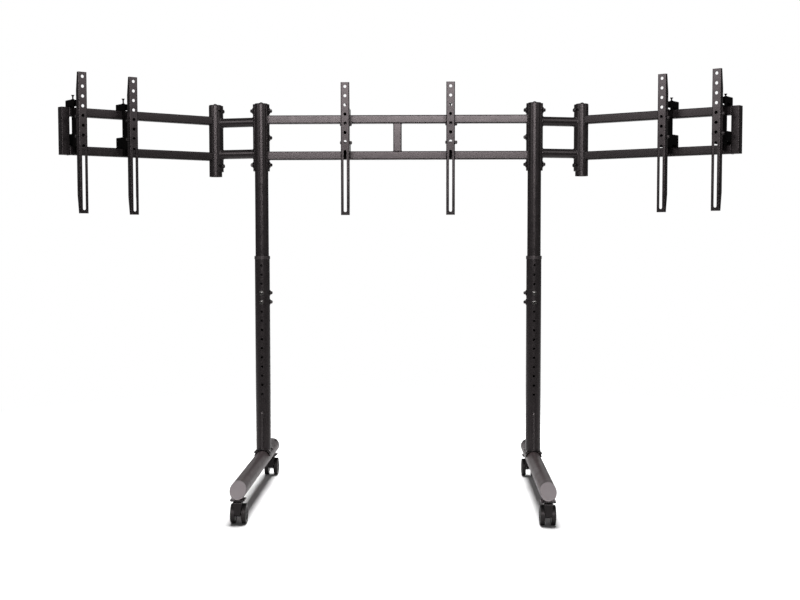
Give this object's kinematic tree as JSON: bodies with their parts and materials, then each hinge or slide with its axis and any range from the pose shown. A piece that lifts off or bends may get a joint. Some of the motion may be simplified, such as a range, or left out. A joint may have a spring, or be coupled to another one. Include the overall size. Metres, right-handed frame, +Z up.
{
  "type": "triple monitor stand",
  "caption": "Wheeled floor stand that carries flat screens side by side on hooked channel arms, with telescoping posts, a centre rail pair and two wings that swing forward.",
  "frame": {"origin": "on the floor, midway between the two posts' axes", "axes": "+X to the viewer's right along the centre rails, -Y the side that the screens face, +Z up"},
  "size_m": [2.129, 0.794, 1.3635],
  "materials": {
    "coat_base": "dark anthracite powder coat, semi-gloss",
    "coat_rail": "dark anthracite powder coat, semi-gloss",
    "coat_bracket": "near-black powder coat, semi-gloss",
    "cap_plastic": "grey moulded plastic, fine grain",
    "black_plastic": "black moulded plastic, satin",
    "wheel_rubber": "black, satin",
    "black_zinc": "black zinc plating"
  },
  "bodies": {
    "base": {"foot_tube_left": "coat_base", "foot_cap_front_left": "cap_plastic", "foot_cap_rear_left": "cap_plastic", "lower_post_left": "coat_base", "height_bolt_left_1": "black_zinc", "height_bolt_left_2": "black_zinc", "foot_tube_right": "coat_base", "foot_cap_front_right": "cap_plastic", "foot_cap_rear_right": "cap_plastic", "lower_post_right": "coat_base", "height_bolt_right_1": "black_zinc", "height_bolt_right_2": "black_zinc", "caster_plate_front_left": "black_zinc", "caster_plate_front_right": "black_zinc", "caster_plate_rear_left": "black_zinc", "caster_plate_rear_right": "black_zinc"},
    "head": {"centre_frame": "coat_rail", "upper_post_left": "coat_base", "post_cap_left": "black_plastic", "link_bracket_left": "coat_base", "upper_post_right": "coat_base", "post_cap_right": "black_plastic", "link_bracket_right": "coat_base"},
    "wing_left": {"wing_frame_left": "coat_rail", "pivot_cap_left": "black_plastic"},
    "wing_right": {"wing_frame_right": "coat_rail", "pivot_cap_right": "black_plastic"},
    "screw_left_outer": {"level_screw_left_outer": "black_zinc"},
    "bracket_left_outer": {"hook_bracket_left_outer": "coat_bracket", "tilt_bolt_left_outer": "black_zinc"},
    "arm_left_outer": {"screen_arm_left_outer": "coat_rail"},
    "screw_left_inner": {"level_screw_left_inner": "black_zinc"},
    "bracket_left_inner": {"hook_bracket_left_inner": "coat_bracket", "tilt_bolt_left_inner": "black_zinc"},
    "arm_left_inner": {"screen_arm_left_inner": "coat_rail"},
    "screw_centre_left": {"level_screw_centre_left": "black_zinc"},
    "bracket_centre_left": {"hook_bracket_centre_left": "coat_bracket", "tilt_bolt_centre_left": "black_zinc"},
    "arm_centre_left": {"screen_arm_centre_left": "coat_rail"},
    "screw_centre_right": {"level_screw_centre_right": "black_zinc"},
    "bracket_centre_right": {"hook_bracket_centre_right": "coat_bracket", "tilt_bolt_centre_right": "black_zinc"},
    "arm_centre_right": {"screen_arm_centre_right": "coat_rail"},
    "screw_right_inner": {"level_screw_right_inner": "black_zinc"},
    "bracket_right_inner": {"hook_bracket_right_inner": "coat_bracket", "tilt_bolt_right_inner": "black_zinc"},
    "arm_right_inner": {"screen_arm_right_inner": "coat_rail"},
    "screw_right_outer": {"level_screw_right_outer": "black_zinc"},
    "bracket_right_outer": {"hook_bracket_right_outer": "coat_bracket", "tilt_bolt_right_outer": "black_zinc"},
    "arm_right_outer": {"screen_arm_right_outer": "coat_rail"},
    "swivel_front_left": {"caster_hood_front_left": "black_plastic"},
    "wheels_front_left": {"caster_wheels_front_left": "wheel_rubber"},
    "swivel_front_right": {"caster_hood_front_right": "black_plastic"},
    "wheels_front_right": {"caster_wheels_front_right": "wheel_rubber"},
    "swivel_rear_left": {"caster_hood_rear_left": "black_plastic"},
    "wheels_rear_left": {"caster_wheels_rear_left": "wheel_rubber"},
    "swivel_rear_right": {"caster_hood_rear_right": "black_plastic"},
    "wheels_rear_right": {"caster_wheels_rear_right": "wheel_rubber"}
  },
  "joints": [
    {"name": "head_height", "type": "slide", "parent": "base", "child": "head", "axis": [0, 0, 1], "range_m": [-0.279, 0.093]},
    {"name": "wing_yaw_left", "type": "hinge", "parent": "head", "child": "wing_left", "pos_m": [-0.6197, 0.045, 1.18], "axis": [0, 0, 1], "range_deg": [-40, 15]},
    {"name": "wing_yaw_right", "type": "hinge", "parent": "head", "child": "wing_right", "pos_m": [0.6197, 0.045, 1.18], "axis": [0, 0, 1], "range_deg": [-20, 35]},
    {"name": "slide_left_outer", "type": "slide", "parent": "wing_left", "child": "screw_left_outer", "axis": [-0.766, -0.6428, 0], "range_m": [-0.0672, 0.0038]},
    {"name": "lift_left_outer", "type": "slide", "parent": "screw_left_outer", "child": "bracket_left_outer", "axis": [0, 0, 1], "range_m": [-0.0046, 0.0074]},
    {"name": "tilt_left_outer", "type": "hinge", "parent": "bracket_left_outer", "child": "arm_left_outer", "pos_m": [-0.96742, -0.32967, 1.2209], "axis": [0.766, 0.6428, 0], "range_deg": [-4, 4]},
    {"name": "slide_left_inner", "type": "slide", "parent": "wing_left", "child": "screw_left_inner", "axis": [-0.766, -0.6428, 0], "range_m": [-0.2619, 0.0581]},
    {"name": "lift_left_inner", "type": "slide", "parent": "screw_left_inner", "child": "bracket_left_inner", "axis": [0, 0, 1], "range_m": [-0.002, 0.01]},
    {"name": "tilt_left_inner", "type": "hinge", "parent": "bracket_left_inner", "child": "arm_left_inner", "pos_m": [-0.83696, -0.2202, 1.2183], "axis": [0.766, 0.6428, 0], "range_deg": [-4, 4]},
    {"name": "slide_centre_left", "type": "slide", "parent": "head", "child": "screw_centre_left", "axis": [1, 0, 0], "range_m": [-0.2196, 0.1254]},
    {"name": "lift_centre_left", "type": "slide", "parent": "screw_centre_left", "child": "bracket_centre_left", "axis": [0, 0, 1], "range_m": [-0.0021, 0.0099]},
    {"name": "tilt_centre_left", "type": "hinge", "parent": "bracket_centre_left", "child": "arm_centre_left", "pos_m": [-0.1704, -0.0635, 1.2184], "axis": [1, 0, 0], "range_deg": [-4, 4]},
    {"name": "slide_centre_right", "type": "slide", "parent": "head", "child": "screw_centre_right", "axis": [1, 0, 0], "range_m": [-0.1314, 0.2136]},
    {"name": "lift_centre_right", "type": "slide", "parent": "screw_centre_right", "child": "bracket_centre_right", "axis": [0, 0, 1], "range_m": [-0.0026, 0.0094]},
    {"name": "tilt_centre_right", "type": "hinge", "parent": "bracket_centre_right", "child": "arm_centre_right", "pos_m": [0.1764, -0.0635, 1.2189], "axis": [1, 0, 0], "range_deg": [-4, 4]},
    {"name": "slide_right_inner", "type": "slide", "parent": "wing_right", "child": "screw_right_inner", "axis": [0.8192, -0.5736, 0], "range_m": [-0.2461, 0.0739]},
    {"name": "lift_right_inner", "type": "slide", "parent": "screw_right_inner", "child": "bracket_right_inner", "axis": [0, 0, 1], "range_m": [-0.0079, 0.0041]},
    {"name": "tilt_right_inner", "type": "hinge", "parent": "bracket_right_inner", "child": "arm_right_inner", "pos_m": [0.84631, -0.19119, 1.2242], "axis": [0.8192, -0.5736, 0], "range_deg": [-4, 4]},
    {"name": "slide_right_outer", "type": "slide", "parent": "wing_right", "child": "screw_right_outer", "axis": [0.8192, -0.5736, 0], "range_m": [-0.0608, 0.0102]},
    {"name": "lift_right_outer", "type": "slide", "parent": "screw_right_outer", "child": "bracket_right_outer", "axis": [0, 0, 1], "range_m": [-0.0102, 0.0018]},
    {"name": "tilt_right_outer", "type": "hinge", "parent": "bracket_right_outer", "child": "arm_right_outer", "pos_m": [0.99351, -0.29426, 1.2265], "axis": [0.8192, -0.5736, 0], "range_deg": [-4, 4]},
    {"name": "swivel_front_left", "type": "hinge", "parent": "base", "child": "swivel_front_left", "pos_m": [-0.457, -0.54, 0.07], "axis": [0, 0, 1], "continuous": true},
    {"name": "roll_front_left", "type": "hinge", "parent": "swivel_front_left", "child": "wheels_front_left", "pos_m": [-0.457, -0.525, 0.03], "axis": [1, 0, 0], "continuous": true},
    {"name": "swivel_front_right", "type": "hinge", "parent": "base", "child": "swivel_front_right", "pos_m": [0.457, -0.54, 0.07], "axis": [0, 0, 1], "continuous": true},
    {"name": "roll_front_right", "type": "hinge", "parent": "swivel_front_right", "child": "wheels_front_right", "pos_m": [0.457, -0.525, 0.03], "axis": [1, 0, 0], "continuous": true},
    {"name": "swivel_rear_left", "type": "hinge", "parent": "base", "child": "swivel_rear_left", "pos_m": [-0.457, 0.185, 0.07], "axis": [0, 0, 1], "continuous": true},
    {"name": "roll_rear_left", "type": "hinge", "parent": "swivel_rear_left", "child": "wheels_rear_left", "pos_m": [-0.457, 0.2, 0.03], "axis": [1, 0, 0], "continuous": true},
    {"name": "swivel_rear_right", "type": "hinge", "parent": "base", "child": "swivel_rear_right", "pos_m": [0.457, 0.185, 0.07], "axis": [0, 0, 1], "continuous": true},
    {"name": "roll_rear_right", "type": "hinge", "parent": "swivel_rear_right", "child": "wheels_rear_right", "pos_m": [0.457, 0.2, 0.03], "axis": [1, 0, 0], "continuous": true}
  ]
}
